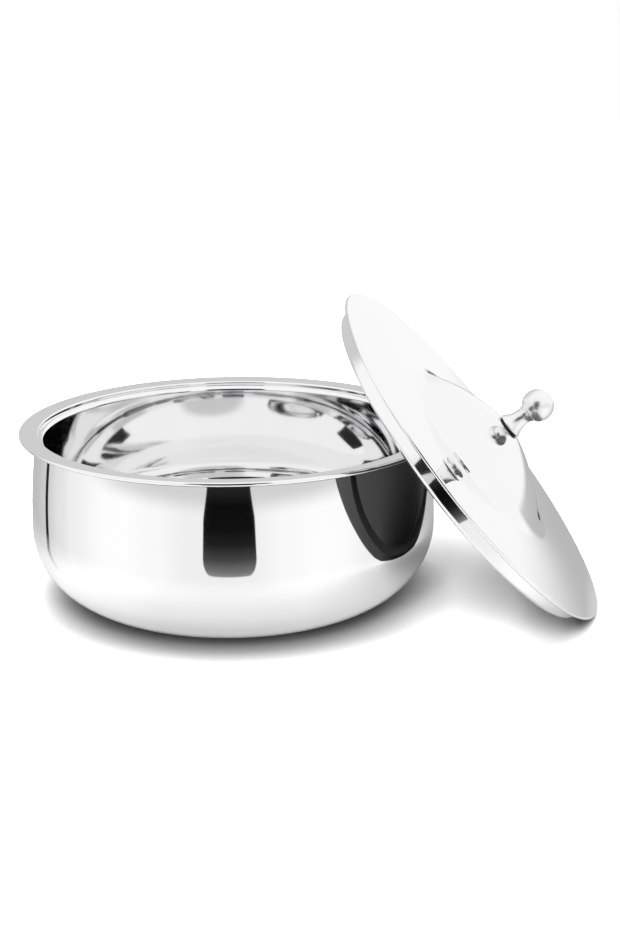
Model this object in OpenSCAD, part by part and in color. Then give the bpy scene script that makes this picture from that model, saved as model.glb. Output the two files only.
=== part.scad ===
// Insulated chapati casserole: a bellied double-walled steel pot and its loose lid.
// The origin is the centre of the pot's foot ring, on the table, and +Z is up.
// The lid leans on the pot's +X side. All sizes are in millimetres.

/* [Pot] */
// Height from the table to the top of the rim
pot_h = 100.4; // [92:0.1:140]
// Width of the rim, from the mouth to the outer edge
rim_w = 11; // [9:0.5:20]
// Slope of the rim, down from its edge to the mouth, in degrees
rim_slope = 5; // [0:0.5:6]
// Width of the fold under the rim's edge, which grips the outer skin
rim_fold_w = 3; // [2:0.1:3.5]
// How far the belly stands out beyond the neck under the rim
belly_swell = 3.7; // [2:0.1:12]
// Height of the widest point of the belly
belly_z = 45; // [38:0.5:54]
// Radius of the upper part of the heel, just below the belly
heel_r = 43; // [32:0.5:52]
// Angle through which the upper heel radius runs, in degrees
heel_angle = 49; // [30:1:62]
// Width of the foot ring that the pot stands on
foot_w = 8; // [4:0.5:14]
// Depth of the pressed recess inside the foot ring
foot_recess = 2; // [1.5:0.1:4]
// Radius of the bend where the outer skin turns out under the rim
neck_bend_r = 2.5; // [1.5:0.1:4]
// Sheet thickness of both pot skins
sheet = 0.8; // [0.5:0.05:0.9]

/* [Mouth and bowl] */
// Inner diameter of the short step inside the rim
mouth_d = 218; // [200:0.5:260]
// Inside radius of the bend between the rim and the step
mouth_bend_r = 0.4; // [0.3:0.1:1]
// Depth of the step below the top of the rim
step_h = 3.2; // [2.6:0.1:4]
// Width of the flat ledge at the foot of the step
ledge_w = 0.2; // [0.1:0.1:3]
// Radius of the rounded shoulder between the ledge and the bowl's wall
shoulder_r = 2.8; // [1.5:0.1:5]
// Height of the bowl's floor above the table
floor_z = 10; // [9:0.5:20]
// Radius between the bowl's wall and its floor
bowl_corner_r = 40; // [25:0.5:50]

/* [Lid] */
// How far the lid's edge reaches past the mouth, on the radius
lid_overlap = 3.2; // [2.5:0.1:8]
// Width of the fold under the lid's edge
fold_w = 3.2; // [2:0.1:4]
// Sheet thickness of both lid skins
lid_sheet = 0.7; // [0.5:0.05:0.9]
// Slope of the nearly flat brim, in degrees
brim_slope = 2; // [0.5:0.5:5]
// Diameter at which the brim turns up into the bell
bell_d = 124; // [100:1:150]
// Radius of the hollow turn between brim and bell
flare_r = 25; // [10:1:40]
// Steepest slope of the bell, in degrees
bell_slope = 33; // [25:0.5:40]
// Radius of the bell's crown
crown_r = 130; // [90:1:200]
// Width of the rim that is left around the seal on the bell's flat top
seat_margin = 0.4; // [0.2:0.1:1.5]

/* [Lid plug] */
// Clearance between the lid's skirt and the bowl's wall, on the radius
plug_gap = 0.5; // [0.3:0.1:2]
// How far the skirt reaches below the lid's folded edge
skirt_h = 9; // [7:0.1:14]
// Radius of the skirt's bottom corner
skirt_corner_r = 2.5; // [1:0.1:3.5]
// Height of the recess pressed into the lid's underside
pan_recess = 5.5; // [3:0.1:7]
// Width of the ring between the skirt and that recess
pan_ring_w = 14.5; // [8:0.5:30]

/* [Knob] */
// Diameter of the knob's base disc
knob_base_d = 15.6; // [14:0.1:20]
// Thickness of the base disc
knob_base_t = 1; // [0.8:0.1:2]
// Diameter of the neck where it meets the base disc
neck_foot_d = 14.4; // [12:0.1:18]
// Diameter of the neck at its waist
waist_d = 9.4; // [8:0.1:11]
// Height of the waist above the base
waist_z = 9; // [6:0.1:11]
// Height of the neck, up to the ring under the ball
neck_h = 13; // [12:0.1:20]
// Diameter of the neck where it meets the ring
neck_top_d = 11.8; // [11.5:0.1:12.4]
// Outer diameter of the fine ring under the ball
ring_d = 13.2; // [13:0.1:15]
// Thickness of that ring
ring_t = 0.8; // [0.4:0.1:1]
// Diameter of the ball
ball_d = 18.4; // [16:0.1:24]
// Height of the ball's centre above the ring
ball_lift = 5.6; // [4:0.1:7]
// Diameter of the black seal under the knob
seal_d = 12.8; // [12:0.1:15]
// Thickness of the seal
seal_t = 0.8; // [0.5:0.1:2]

/* [Fasteners] */
// Diameter of the stud that holds the knob
stud_d = 5; // [4:0.5:6]
// How far the stud reaches into the ball
stud_in_ball = 6; // [3:0.5:8]
// How far the stud reaches past the nut
stud_tail = 2; // [0.5:0.5:5]
// Diameter of the steel washer under the lid's top skin
washer_d = 12; // [10:0.1:12.4]
// Thickness of that washer
washer_t = 1; // [0.8:0.1:2]
// Width of the nut across its flats
nut_af = 8; // [7.5:0.1:10]
// Height of the nut
nut_h = 4; // [3:0.1:5]

/* [Filling plugs] */
// Diameter of the two holes through which the foam is filled
fill_d = 10; // [6:0.1:14]
// Diameter of a filling plug's head
plug_head_d = 16; // [15:0.1:22]
// Thickness of a filling plug's head
plug_head_t = 1.2; // [0.8:0.1:1.4]
// How far a filling plug's stem reaches in past the skin
plug_stem = 1.5; // [1:0.1:3]

/* [Fits] */
// Gap between the bowl's step and the neck of the outer skin
neck_gap = 0.2; // [0.1:0.05:0.5]
// Clearance between sheets that are folded into each other
fold_gap = 0.05; // [0.02:0.01:0.1]
// Clearance between a foam filling and what it surrounds or fills
foam_gap = 0.1; // [0.05:0.05:0.2]
// Clearance between a stem or stud and its hole, on the radius
hole_gap = 0.1; // [0.05:0.05:0.2]
// Gap between the leaning lid and the rim that it leans on
lean_gap = 0.3; // [0.2:0.1:1]

/* [Lid position] */
// Where the lid is: leaning on the pot, or closed on it
lid_place = "leaning"; // [leaning, closed]
// Lean of the lid's axis from upright, in degrees
lean_angle = 50.7; // [46:0.1:58]
// Direction in which the lid leans, turned from +X about the pot's axis, in degrees
lean_turn = -7.4; // [-30:0.1:30]

/* [Hidden] */
$fn = 120;

// Longer than any piece: how far cutting shapes reach
reach = 500;
// Arcs that touch are made to cross by this much, so that no sliver is left where they meet
seam = 0.001;

// The mouth: a step, a ledge and a rounded shoulder down to the bowl's wall
mouth_r = mouth_d / 2;
mouth_round_r = mouth_bend_r + sheet;
ledge_z = pot_h - step_h;
bowl_r = mouth_r - ledge_w - shoulder_r;
shoulder_z = ledge_z - shoulder_r;
bowl_arc_x = bowl_r - bowl_corner_r;
bowl_arc_z = floor_z + bowl_corner_r;

// The rim falls gently to the mouth. Its edge is rolled over the outer skin's flange, so it is
// three sheets thick there. Depths are measured down from the rim's top face, square to it.
rim_r = mouth_r + rim_w;
flange_high = sheet + fold_gap;
flange_low = flange_high + sheet;
fold_high = flange_low + fold_gap;
rim_edge_t = fold_high + sheet;
bead_r = rim_edge_t / 2;
bead_x = rim_r - bead_r;
bead_z = pot_h - bead_r;
mouth_round_x = mouth_r + mouth_round_r;
mouth_round_z = rim_z(mouth_round_x, 0) - (mouth_round_r - 2 * seam) / cos(rim_slope);

// The outer skin's side: one long arc from the belly up to the bend under the rim.
// The arc and the bend touch each other, and that fixes the arc's radius.
neck_r = mouth_r + sheet + neck_gap + sheet;
belly_r = neck_r + belly_swell;
bend_x = neck_r + neck_bend_r;
bend_z = rim_z(bend_x, flange_low) - neck_bend_r / cos(rim_slope);
side_up = bend_z - belly_z;
side_r = (pow(belly_swell, 2) + pow(side_up, 2)) / (2 * belly_swell) - neck_bend_r;
side_x = belly_r - seam - side_r;
side_sin = side_up / (side_r + neck_bend_r);

// The heel: an upper arc down from the belly, then a lower arc that ends flat on the table
heel_x = belly_r - heel_r;
heel_end_z = belly_z - heel_r * sin(heel_angle);
base_arc_r = heel_end_z / (1 - sin(heel_angle));
base_arc_x = heel_x + (heel_r - base_arc_r) * cos(heel_angle) - seam;
foot_r = base_arc_x - foot_w;

// The lid has its own frame: z = 0 is the top of its folded edge
lid_edge_t = 3 * lid_sheet + 2 * fold_gap;
hem_r = lid_edge_t / 2;
hem_x = mouth_r + lid_overlap - hem_r;
brim_out = [hem_x + hem_r * sin(brim_slope), hem_r * cos(brim_slope) - hem_r];
brim_in = [bell_d / 2, brim_out[1] + tan(brim_slope) * (brim_out[0] - bell_d / 2)];
flare_c = brim_in + flare_r * [sin(brim_slope), cos(brim_slope)];
crown_c = flare_c - (flare_r + crown_r) * [sin(bell_slope), cos(bell_slope)];
seat_r = seal_d / 2 + seat_margin;
seat_z = crown_c[1] + sqrt(pow(crown_r, 2) - pow(seat_r - crown_c[0], 2));

// The lid's pan: a skirt that fits the bowl, and a recess pressed into its underside
skirt_r = bowl_r - plug_gap;
pan_low_z = -lid_edge_t - skirt_h;
recess_z = pan_low_z + pan_recess;
recess_r = skirt_r - pan_ring_w;
pan_flange_z = -lid_sheet - fold_gap;

// The knob stands on its seal, on the flat top of the bell
knob_z = seat_z + seal_t;
base_edge_r = knob_base_t / 2;
base_flat_r = knob_base_d / 2 - base_edge_r;
ring_edge_r = ring_t / 2;
ring_flat_r = ring_d / 2 - ring_edge_r;
waist_r = waist_d / 2;
ball_cut_z = neck_h + ring_t;
ball_z = ball_cut_z + ball_lift;
skin_low_z = seat_z - lid_sheet;
nut_low_z = skin_low_z - washer_t - nut_h;
stud_low_z = nut_low_z - stud_tail;
stud_top_z = knob_z + ball_cut_z + stud_in_ball;

// A sheet bent through 45 degrees keeps its thickness when its corners shift by this share of it
bend_shift = tan(22.5);

// The leaning lid stands on whichever of its edge and its skirt reaches lower
edge_drop = hem_x * sin(lean_angle) + hem_r * cos(lean_angle) + hem_r;
skirt_drop = (skirt_r - skirt_corner_r) * sin(lean_angle)
    - (pan_low_z + skirt_corner_r) * cos(lean_angle) + skirt_corner_r;
lean_z = max(edge_drop, skirt_drop);
// The plane of its recess lies against the top of the rim's bead
bead_support = bead_x * sin(lean_angle) + bead_z * cos(lean_angle) + bead_r;
lean_x = (bead_support + lean_gap - recess_z - lean_z * cos(lean_angle)) / sin(lean_angle);

// The closed lid rests with its folded edge on the rim
closed_z = rim_z(hem_x, 0) + hem_r / cos(rim_slope) + hem_r;

// Height of the plane that lies `depth` below the rim's top face, at a distance from the axis.
// The top face cuts the bead by the width of a seam.
function rim_z(r, depth) =
    bead_z + (bead_r - seam - depth) / cos(rim_slope) - (bead_x - r) * tan(rim_slope);

// The radius of the arc that leaves a waist upright and is `out` away from it after `rise`
function flare_arc(out, rise) = (pow(out, 2) + pow(rise, 2)) / (2 * out);

// Half profile: all that lies inside a radius, between two heights
module inside_wall(r, low, high) {
    polygon([[0, low], [r, low], [r, high], [0, high]]);
}

// Half profile: all that lies inside an arc about [x, z], between two heights
module inside_arc(x, z, r, low, high) {
    intersection() {
        union() {
            translate([x, z])
                circle(r);
            if (x > 0)
                inside_wall(x, z - r, z + r);
        }
        inside_wall(reach, low, high);
    }
}

// Half profile: all that lies inside a round about [x, z] that bulges towards the axis and ends
// in a surface that is tilted towards the axis
module inside_round(x, z, r, tilt) {
    difference() {
        inside_wall(x - r * sin(tilt), z, z + r * cos(tilt));
        translate([x, z])
            circle(r);
    }
}

// Half profile of all that lies deeper than `depth` below the rim's top face
module under_rim(depth) {
    polygon([[0, -reach], [reach, -reach], [reach, rim_z(reach, depth)], [0, rim_z(0, depth)]]);
}

// Half profile of a band that runs along the rim, between two depths below its top face
module rim_band(from, to, high, low) {
    difference() {
        intersection() {
            under_rim(high);
            translate([from, 0])
                square([to - from, reach]);
        }
        under_rim(low);
    }
}

// Half profile of a pressed recess with a 45 degree edge, seen `off` away from its surface
module recess_profile(r, low, h, off) {
    shift = off * bend_shift;
    polygon([
        [0, low - reach],
        [r + h + shift, low - reach],
        [r + h + shift, low + off],
        [r + shift, low + h + off],
        [0, low + h + off]
    ]);
}

// Half profile of all that lies inside the outer skin, `off` in from its surface
module pot_profile(off) {
    heel_low_z = belly_z - (heel_r - off) * sin(heel_angle);
    side_high_z = belly_z + (side_r - off) * side_sin;
    difference() {
        union() {
            inside_arc(base_arc_x, base_arc_r, base_arc_r - off, 0, heel_low_z);
            inside_arc(heel_x, belly_z, heel_r - off, heel_low_z - sheet, pot_h);
            inside_arc(side_x, belly_z, side_r - off, belly_z, pot_h);
            difference() {
                inside_wall(bend_x - (neck_bend_r + off) * sin(rim_slope), side_high_z, pot_h);
                translate([bend_x, bend_z])
                    circle(neck_bend_r + off + 2 * seam);
            }
        }
        recess_profile(foot_r - foot_recess, 0, foot_recess, off);
    }
}

// Half profile of all that lies inside the bowl, `off` out from its inner surface
module bowl_profile(off) {
    inside_arc(bowl_arc_x, bowl_arc_z, bowl_corner_r + off, floor_z - off, bowl_arc_z);
    inside_wall(bowl_r + off, bowl_arc_z, shoulder_z);
    inside_round(bowl_r + shoulder_r, shoulder_z, shoulder_r - off, 0);
    inside_wall(mouth_r + off, ledge_z - off, mouth_round_z);
    inside_round(mouth_round_x, mouth_round_z, mouth_round_r - off, rim_slope);
}

// Half profile of all that lies below the lid's top skin, `off` in from its surface
module lid_profile(off) {
    brim_z = brim_out[1] - off / cos(brim_slope);
    flare_low = flare_c - (flare_r + off) * [sin(brim_slope), cos(brim_slope)];
    flare_high = flare_c - (flare_r + off) * [sin(bell_slope), cos(bell_slope)];
    polygon([
        [0, -reach],
        [brim_out[0], -reach],
        [brim_out[0], brim_z],
        [0, brim_z + brim_out[0] * tan(brim_slope)]
    ]);
    difference() {
        inside_wall(flare_low[0], -reach, flare_high[1]);
        translate(flare_c)
            circle(flare_r + off + seam);
    }
    intersection() {
        inside_wall(flare_low[0], flare_low[1], seat_z - off);
        translate(crown_c)
            circle(crown_r - off);
    }
}

// Half profile of all that lies inside the lid's pan, `off` in from its outer surface
module pan_profile(off) {
    corner_r = skirt_corner_r - off;
    difference() {
        union() {
            inside_arc(skirt_r - skirt_corner_r, pan_low_z + skirt_corner_r, corner_r,
                pan_low_z + off, pan_low_z + skirt_corner_r);
            inside_wall(skirt_r - off, pan_low_z + skirt_corner_r, reach);
        }
        recess_profile(recess_r - pan_recess, pan_low_z, pan_recess, off);
    }
}

// Half profile of a filling plug, head down, with its head's top at z = 0
module plug_profile(skin) {
    head_r = plug_head_d / 2;
    polygon([
        [0, -plug_head_t],
        [head_r - plug_head_t / 2, -plug_head_t],
        [head_r, -plug_head_t / 2],
        [head_r, 0],
        [fill_d / 2, 0],
        [fill_d / 2, skin + plug_stem],
        [0, skin + plug_stem]
    ]);
}

// Where the lid stands: closed on the rim, or leaning beside the pot
module place_lid() {
    if (lid_place == "closed")
        translate([0, 0, closed_z])
            children();
    else
        rotate([0, 0, lean_turn])
            translate([lean_x, 0, lean_z])
                rotate([0, lean_angle, 0])
                    children();
}

// Bellied outer skin, pressed from one sheet, with the flange that the rim is rolled over
module outer_shell() {
    color("silver")
        rotate_extrude()
            difference() {
                intersection() {
                    union() {
                        pot_profile(0);
                        rim_band(0, bead_x, flange_high, flange_low);
                    }
                    under_rim(flange_high);
                }
                pot_profile(sheet);
                inside_wall(fill_d / 2 + hole_gap, 0, floor_z - sheet);
            }
}

// Inner bowl with its rounded shoulder, its step, and the rim, whose edge is rolled into a hem
module inner_bowl() {
    color("gainsboro")
        rotate_extrude()
            difference() {
                union() {
                    bowl_profile(sheet);
                    rim_band(0, bead_x - bead_r * sin(rim_slope), 0, sheet);
                    rim_band(bead_x - rim_fold_w, bead_x + bead_r * sin(rim_slope),
                        fold_high, rim_edge_t - 2 * seam);
                    translate([bead_x, bead_z])
                        circle(bead_r);
                }
                bowl_profile(0);
                translate([bead_x, bead_z])
                    circle(bead_r - sheet + 4 * seam);
                rim_band(bead_x - rim_fold_w, bead_x, sheet, fold_high);
            }
}

// Foam between the two skins of the pot
module bowl_insulation() {
    gap = sheet + foam_gap;
    color("khaki")
        rotate_extrude()
            difference() {
                intersection() {
                    pot_profile(gap);
                    inside_wall(reach, 0, shoulder_z - sheet);
                }
                bowl_profile(gap);
                inside_wall(fill_d / 2 + foam_gap, 0, foot_recess + sheet + plug_stem + foam_gap);
            }
}

// Plug that closes the filling hole in the middle of the pot's foot recess
module base_plug() {
    color("whitesmoke")
        translate([0, 0, foot_recess])
            rotate_extrude()
                plug_profile(sheet);
}

// Top skin of the lid: flat seat, bell, brim and an edge folded round the pan's flange
module lid_shell() {
    slot_h = lid_edge_t - 2 * lid_sheet;
    color("silver")
        place_lid()
            rotate_extrude()
                difference() {
                    union() {
                        intersection() {
                            lid_profile(0);
                            inside_wall(brim_out[0], -hem_r, reach);
                        }
                        translate([hem_x, -hem_r])
                            circle(hem_r);
                        inside_wall(hem_x, -lid_edge_t, -hem_r);
                    }
                    intersection() {
                        lid_profile(lid_sheet);
                        inside_wall(hem_x, -lid_sheet - slot_h, reach);
                    }
                    inside_wall(hem_x, -lid_sheet - slot_h, -lid_sheet);
                    inside_wall(hem_x - fold_w, -reach, -lid_sheet);
                    inside_wall(stud_d / 2 + hole_gap, 0, reach);
                }
}

// Lower skin of the lid: the skirt that plugs the mouth, and the pressed underside
module lid_pan() {
    color("gainsboro")
        place_lid()
            rotate_extrude()
                difference() {
                    union() {
                        intersection() {
                            pan_profile(0);
                            inside_wall(reach, pan_low_z, pan_flange_z);
                        }
                        inside_wall(hem_x - fold_gap, pan_flange_z - lid_sheet, pan_flange_z);
                    }
                    pan_profile(lid_sheet);
                    inside_wall(fill_d / 2 + hole_gap, pan_low_z, 0);
                }
}

// Foam between the two skins of the lid, set round the washer, the nut and the stud
module lid_insulation() {
    gap = lid_sheet + foam_gap;
    color("khaki")
        place_lid()
            difference() {
                rotate_extrude()
                    difference() {
                        intersection() {
                            lid_profile(gap);
                            pan_profile(gap);
                        }
                        inside_wall(fill_d / 2 + foam_gap, pan_low_z,
                            recess_z + lid_sheet + plug_stem + foam_gap);
                        inside_wall(stud_d / 2 + foam_gap, stud_low_z - foam_gap, reach);
                        inside_wall(washer_d / 2 + foam_gap, skin_low_z - washer_t - foam_gap, reach);
                    }
                translate([0, 0, nut_low_z - foam_gap])
                    cylinder(d = (nut_af + 2 * foam_gap) / cos(30), h = nut_h + foam_gap, $fn = 6);
            }
}

// Plug that closes the filling hole in the middle of the lid's underside
module lid_plug() {
    color("whitesmoke")
        place_lid()
            translate([0, 0, recess_z])
                rotate_extrude()
                    plug_profile(lid_sheet);
}

// Black seal between the knob's base and the bell's flat top
module knob_seal() {
    color("dimgray")
        place_lid()
            translate([0, 0, seat_z])
                rotate_extrude()
                    translate([stud_d / 2 + hole_gap, 0])
                        square([seal_d / 2 - stud_d / 2 - hole_gap, seal_t]);
}

// Turned neck of the knob: base disc, waist and the fine ring under the ball
module knob_neck() {
    foot_arc_r = flare_arc(neck_foot_d / 2 - waist_r, waist_z - knob_base_t);
    top_arc_r = flare_arc(neck_top_d / 2 - waist_r, neck_h - waist_z);
    color("silver")
        place_lid()
            translate([0, 0, knob_z])
                rotate_extrude()
                    difference() {
                        union() {
                            inside_wall(base_flat_r, 0, knob_base_t);
                            translate([base_flat_r, base_edge_r])
                                circle(base_edge_r);
                            difference() {
                                inside_wall(base_flat_r, base_edge_r, neck_h);
                                translate([waist_r + foot_arc_r + seam, waist_z])
                                    circle(foot_arc_r);
                            }
                            difference() {
                                inside_wall(ring_flat_r, waist_z, ball_cut_z);
                                translate([waist_r + top_arc_r, waist_z])
                                    circle(top_arc_r);
                            }
                            translate([ring_flat_r, neck_h + ring_edge_r])
                                circle(ring_edge_r);
                        }
                        inside_wall(stud_d / 2 + hole_gap, -reach, reach);
                    }
}

// Ball on top of the knob, with a blind hole for the stud
module knob_ball() {
    color("silver")
        place_lid()
            translate([0, 0, knob_z])
                rotate_extrude()
                    difference() {
                        intersection() {
                            translate([0, ball_z])
                                circle(d = ball_d);
                            inside_wall(ball_d, ball_cut_z, ball_z + ball_d);
                        }
                        inside_wall(stud_d / 2 + hole_gap, 0, ball_cut_z + stud_in_ball + hole_gap);
                    }
}

// Stud that runs from the ball down through the neck, the seal and the lid's top skin
module knob_stud() {
    color("gray")
        place_lid()
            translate([0, 0, stud_low_z])
                cylinder(d = stud_d, h = stud_top_z - stud_low_z);
}

// Washer under the lid's top skin
module knob_washer() {
    color("gray")
        place_lid()
            translate([0, 0, skin_low_z - washer_t])
                rotate_extrude()
                    translate([stud_d / 2 + hole_gap, 0])
                        square([washer_d / 2 - stud_d / 2 - hole_gap, washer_t]);
}

// Nut on the stud, under the washer
module knob_nut() {
    color("gray")
        place_lid()
            translate([0, 0, nut_low_z])
                difference() {
                    cylinder(d = nut_af / cos(30), h = nut_h, $fn = 6);
                    translate([0, 0, -nut_h])
                        cylinder(r = stud_d / 2 + hole_gap, h = 3 * nut_h);
                }
}

outer_shell();
inner_bowl();
bowl_insulation();
base_plug();
lid_shell();
lid_pan();
lid_insulation();
lid_plug();
knob_seal();
knob_neck();
knob_ball();
knob_stud();
knob_washer();
knob_nut();
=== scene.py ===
# %% [markdown]
# # An insulated casserole and its loose lid
#
# The object is a serving pot of polished stainless steel. It has two skins with foam between them, a
# flat rim that ends in a rolled bead, and a lid with two skins and a ball knob. The lid lies against
# the side of the pot. Almost everything that shows is a body of revolution with a mirror finish, so
# this lesson is about two things: turning clean outlines on a lathe, and giving a mirror something
# quiet to reflect.

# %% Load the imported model
import bmesh
import bpy
import math
from mathutils import Matrix, Vector


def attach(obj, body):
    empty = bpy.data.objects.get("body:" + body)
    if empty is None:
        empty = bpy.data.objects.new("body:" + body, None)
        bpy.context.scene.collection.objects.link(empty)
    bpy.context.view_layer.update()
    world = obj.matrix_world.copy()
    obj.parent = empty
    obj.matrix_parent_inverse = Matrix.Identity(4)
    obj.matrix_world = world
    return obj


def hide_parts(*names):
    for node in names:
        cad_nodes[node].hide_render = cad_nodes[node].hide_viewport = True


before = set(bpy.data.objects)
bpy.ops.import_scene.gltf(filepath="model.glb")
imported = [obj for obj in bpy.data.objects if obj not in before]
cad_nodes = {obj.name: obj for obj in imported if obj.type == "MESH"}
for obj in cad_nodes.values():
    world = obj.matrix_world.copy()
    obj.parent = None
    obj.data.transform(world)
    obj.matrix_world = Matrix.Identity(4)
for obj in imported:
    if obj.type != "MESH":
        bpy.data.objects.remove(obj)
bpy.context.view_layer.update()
print("solids in the frame:", len(cad_nodes))

# %% [markdown]
# The solids come in metres, but a pot is thought of in millimetres. All outlines below are written in
# millimetres and scaled when they become a mesh. The sizes are those of the solids, because the
# render and the solids show the same pot.

# %% Sizes of the pot
MM = 0.001

pot_height = 100.4
sheet = 0.8
mouth_radius = 109
rim_width = 11
rim_slope = 5
rim_fold = 3
belly_height = 45
belly_swell = 3.7
heel_radius = 43
heel_turn = 49
foot_ring_width = 8
foot_recess = 2
neck_bend = 2.5
neck_gap = 0.2
fold_gap = 0.05

# %% [markdown]
# The mouth has a fine step, and the lid closes over it. The bowl's floor and corner and the hole through
# which the foam is filled in don't show. They have the sizes that are usual for such pots.

# %% Sizes of the mouth and the bowl
mouth_bend = 0.4
step_depth = 3.2
ledge_width = 0.2
shoulder_radius = 2.8
bowl_floor = 10
bowl_corner = 40
filling_hole = 5.1

# %% [markdown]
# The lid is made of thinner sheet than the pot. Its brim lies over the mouth's edge and its skirt goes
# into the mouth with a little play. The bell is given by where it starts, how steep it gets and how
# round its crown is.

# %% Sizes of the lid
lid_sheet = 0.7
lid_overlap = 3.2
fold_width = 3.2
brim_slope = 2
bell_radius = 62
flare_radius = 25
bell_slope = 33
crown_radius = 130
seat_radius = 6.8
skirt_gap = 0.5
skirt_depth = 9
skirt_corner = 2.5
pan_recess = 5.5
pan_ring_width = 14.5
stud_hole = 2.6

# %% [markdown]
# The knob's heights count from the underside of its disc, which lies on the seal.

# %% Sizes of the knob
seal_radius = 6.4
seal_thickness = 0.8
disc_radius = 7.8
disc_thickness = 1
neck_foot_radius = 7.2
waist_radius = 4.7
waist_height = 9
neck_height = 13
neck_top_radius = 5.9
ring_radius = 6.6
ring_thickness = 0.8
ball_radius = 9.2
ball_lift = 5.6
stud_depth_in_ball = 6.1

# %% [markdown]
# The lid's axis is tilted to the right and turned a little towards the camera. A small gap keeps the
# lid clear of the rim's bead.

# %% Where the lid leans
lid_lean = 50.7
lid_turn = -7.4
lean_gap = 0.3

# %% [markdown]
# An outline is a list of points (distance from the axis, height). A pressed or turned piece is made
# of straight runs and arcs that touch each other, so a helper for arcs is all that the outlines need.
# An arc takes a point every few degrees: a mirror shows every flat facet, and the fine steps keep the
# reflection smooth.

# %% A helper for arcs
ARC_STEP = 3


def arc(middle, radius, start, end, step=ARC_STEP):
    """Points on an arc, from one angle to another, in degrees. Angle 0 points away from the axis."""
    count = max(2, math.ceil(abs(end - start) / step))
    points = []
    for i in range(count + 1):
        angle = math.radians(start + (end - start) * i / count)
        points.append((middle[0] + radius * math.cos(angle), middle[1] + radius * math.sin(angle)))
    return points


def straight(start, end, count):
    """Points on a straight run, with both ends."""
    run = []
    for i in range(count + 1):
        share = i / count
        run.append((start[0] + (end[0] - start[0]) * share, start[1] + (end[1] - start[1]) * share))
    return run


# %% [markdown]
# The lathe turns an outline into a mesh. Blender's Screw modifier does this too, but written out it is
# clear what happens where the outline meets the axis: there the ring of points becomes a single one.
# Long flat runs next to tight bends shade badly when normals are averaged, because the big flat face
# gets bent towards the small one. The Weighted Normal modifier lets the larger face win, so a flat
# rim looks flat up to its edge.

# %% Rings of points, and the faces between two rings
TURNS = 288
ON_AXIS = 1e-6


def ring_of(turned, radius, height):
    """The points at one radius and height, or the single point on the axis."""
    if radius < ON_AXIS:
        return [turned.verts.new((0, 0, height * MM))]
    ring = []
    for i in range(TURNS):
        angle = 2 * math.pi * i / TURNS
        across = radius * math.cos(angle) * MM
        along_y = radius * math.sin(angle) * MM
        ring.append(turned.verts.new((across, along_y, height * MM)))
    return ring


def faces_between(turned, lower, upper):
    """The faces between two rings. One of them may be a single point."""
    for i in range(TURNS):
        following = (i + 1) % TURNS
        corners = []
        for ring, index in ((lower, i), (lower, following), (upper, following), (upper, i)):
            corner = ring[index % len(ring)]
            if corner not in corners:
                corners.append(corner)
        if len(corners) > 2:
            turned.faces.new(corners)


# %% The lathe
SHARP_ANGLE = 40


def lathe(name, outline, place=None):
    """Turn a closed outline round the axis, in millimetres, and put the mesh in its place."""
    mesh = bpy.data.meshes.new(name)
    turned = bmesh.new()
    rings = [ring_of(turned, radius, height) for radius, height in outline]
    pairs = list(zip(rings, rings[1:]))
    if len(rings[0]) > 1:
        pairs.append((rings[-1], rings[0]))
    for lower, upper in pairs:
        faces_between(turned, lower, upper)
    bmesh.ops.recalc_face_normals(turned, faces=turned.faces)
    for face in turned.faces:
        face.smooth = True
    turned.to_mesh(mesh)
    turned.free()
    mesh.set_sharp_from_angle(angle=math.radians(SHARP_ANGLE))
    piece = bpy.data.objects.new(name, mesh)
    bpy.context.scene.collection.objects.link(piece)
    weighted = piece.modifiers.new("flat faces win", "WEIGHTED_NORMAL")
    weighted.keep_sharp = True
    if place is not None:
        piece.matrix_world = place
    print(name, "has", len(mesh.polygons), "faces")
    return piece


# %% [markdown]
# The outer skin is one pressed sheet. From the bottom up it has a recess with slanted walls, the flat
# ring that the pot stands on, two arcs that form the heel, one very long arc for the side, and a bend
# under the rim. Each arc starts in the direction in which the last one ended, and this fixes some of
# the radii. The inner face of the sheet follows the same middles with radii that are one thickness
# smaller, which keeps the sheet equally thick everywhere. The rim falls gently to the mouth, so its
# depths are measured square to its face.
#
# Under the rim lie, from the top, the bowl's sheet, the outer skin's flange and the folded end of the
# bowl's sheet. A little air between them keeps the pieces apart.

# %% The arcs of the outer skin
RIM_LEAN = math.radians(rim_slope)
flange_high = sheet + fold_gap
flange_low = flange_high + sheet
fold_high = flange_low + fold_gap
rim_edge = fold_high + sheet
bead_radius = rim_edge / 2
bead_middle = (mouth_radius + rim_width - bead_radius, pot_height - bead_radius)


def rim_point(radius, depth):
    """The point at a distance from the axis that lies that deep below the rim's face."""
    drop = (bead_middle[0] - radius) * math.tan(RIM_LEAN)
    return radius, bead_middle[1] + (bead_radius - depth) / math.cos(RIM_LEAN) - drop


neck_radius = mouth_radius + sheet + neck_gap + sheet
belly_radius = neck_radius + belly_swell
neck_bend_middle = rim_point(neck_radius + neck_bend, flange_low + neck_bend)
side_rise = neck_bend_middle[1] - belly_height
side_radius = (belly_swell ** 2 + side_rise ** 2) / (2 * belly_swell) - neck_bend
side_middle = (belly_radius - side_radius, belly_height)
side_turn = math.degrees(math.asin(side_rise / (side_radius + neck_bend)))
heel_middle = (belly_radius - heel_radius, belly_height)
heel_end = belly_height - heel_radius * math.sin(math.radians(heel_turn))
base_radius = heel_end / (1 - math.sin(math.radians(heel_turn)))
base_middle = (
    heel_middle[0] + (heel_radius - base_radius) * math.cos(math.radians(heel_turn)),
    base_radius,
)
foot_radius = base_middle[0] - foot_ring_width
print("the belly's radius is", belly_radius)
print("the side's arc has a radius of", round(side_radius, 1), "and the base's", round(base_radius, 1))

# %% [markdown]
# Recesses have walls at 45 degrees. Where such a wall is drawn one sheet further in, its corners move
# sideways too, by the tangent of half the wall's angle.

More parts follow.
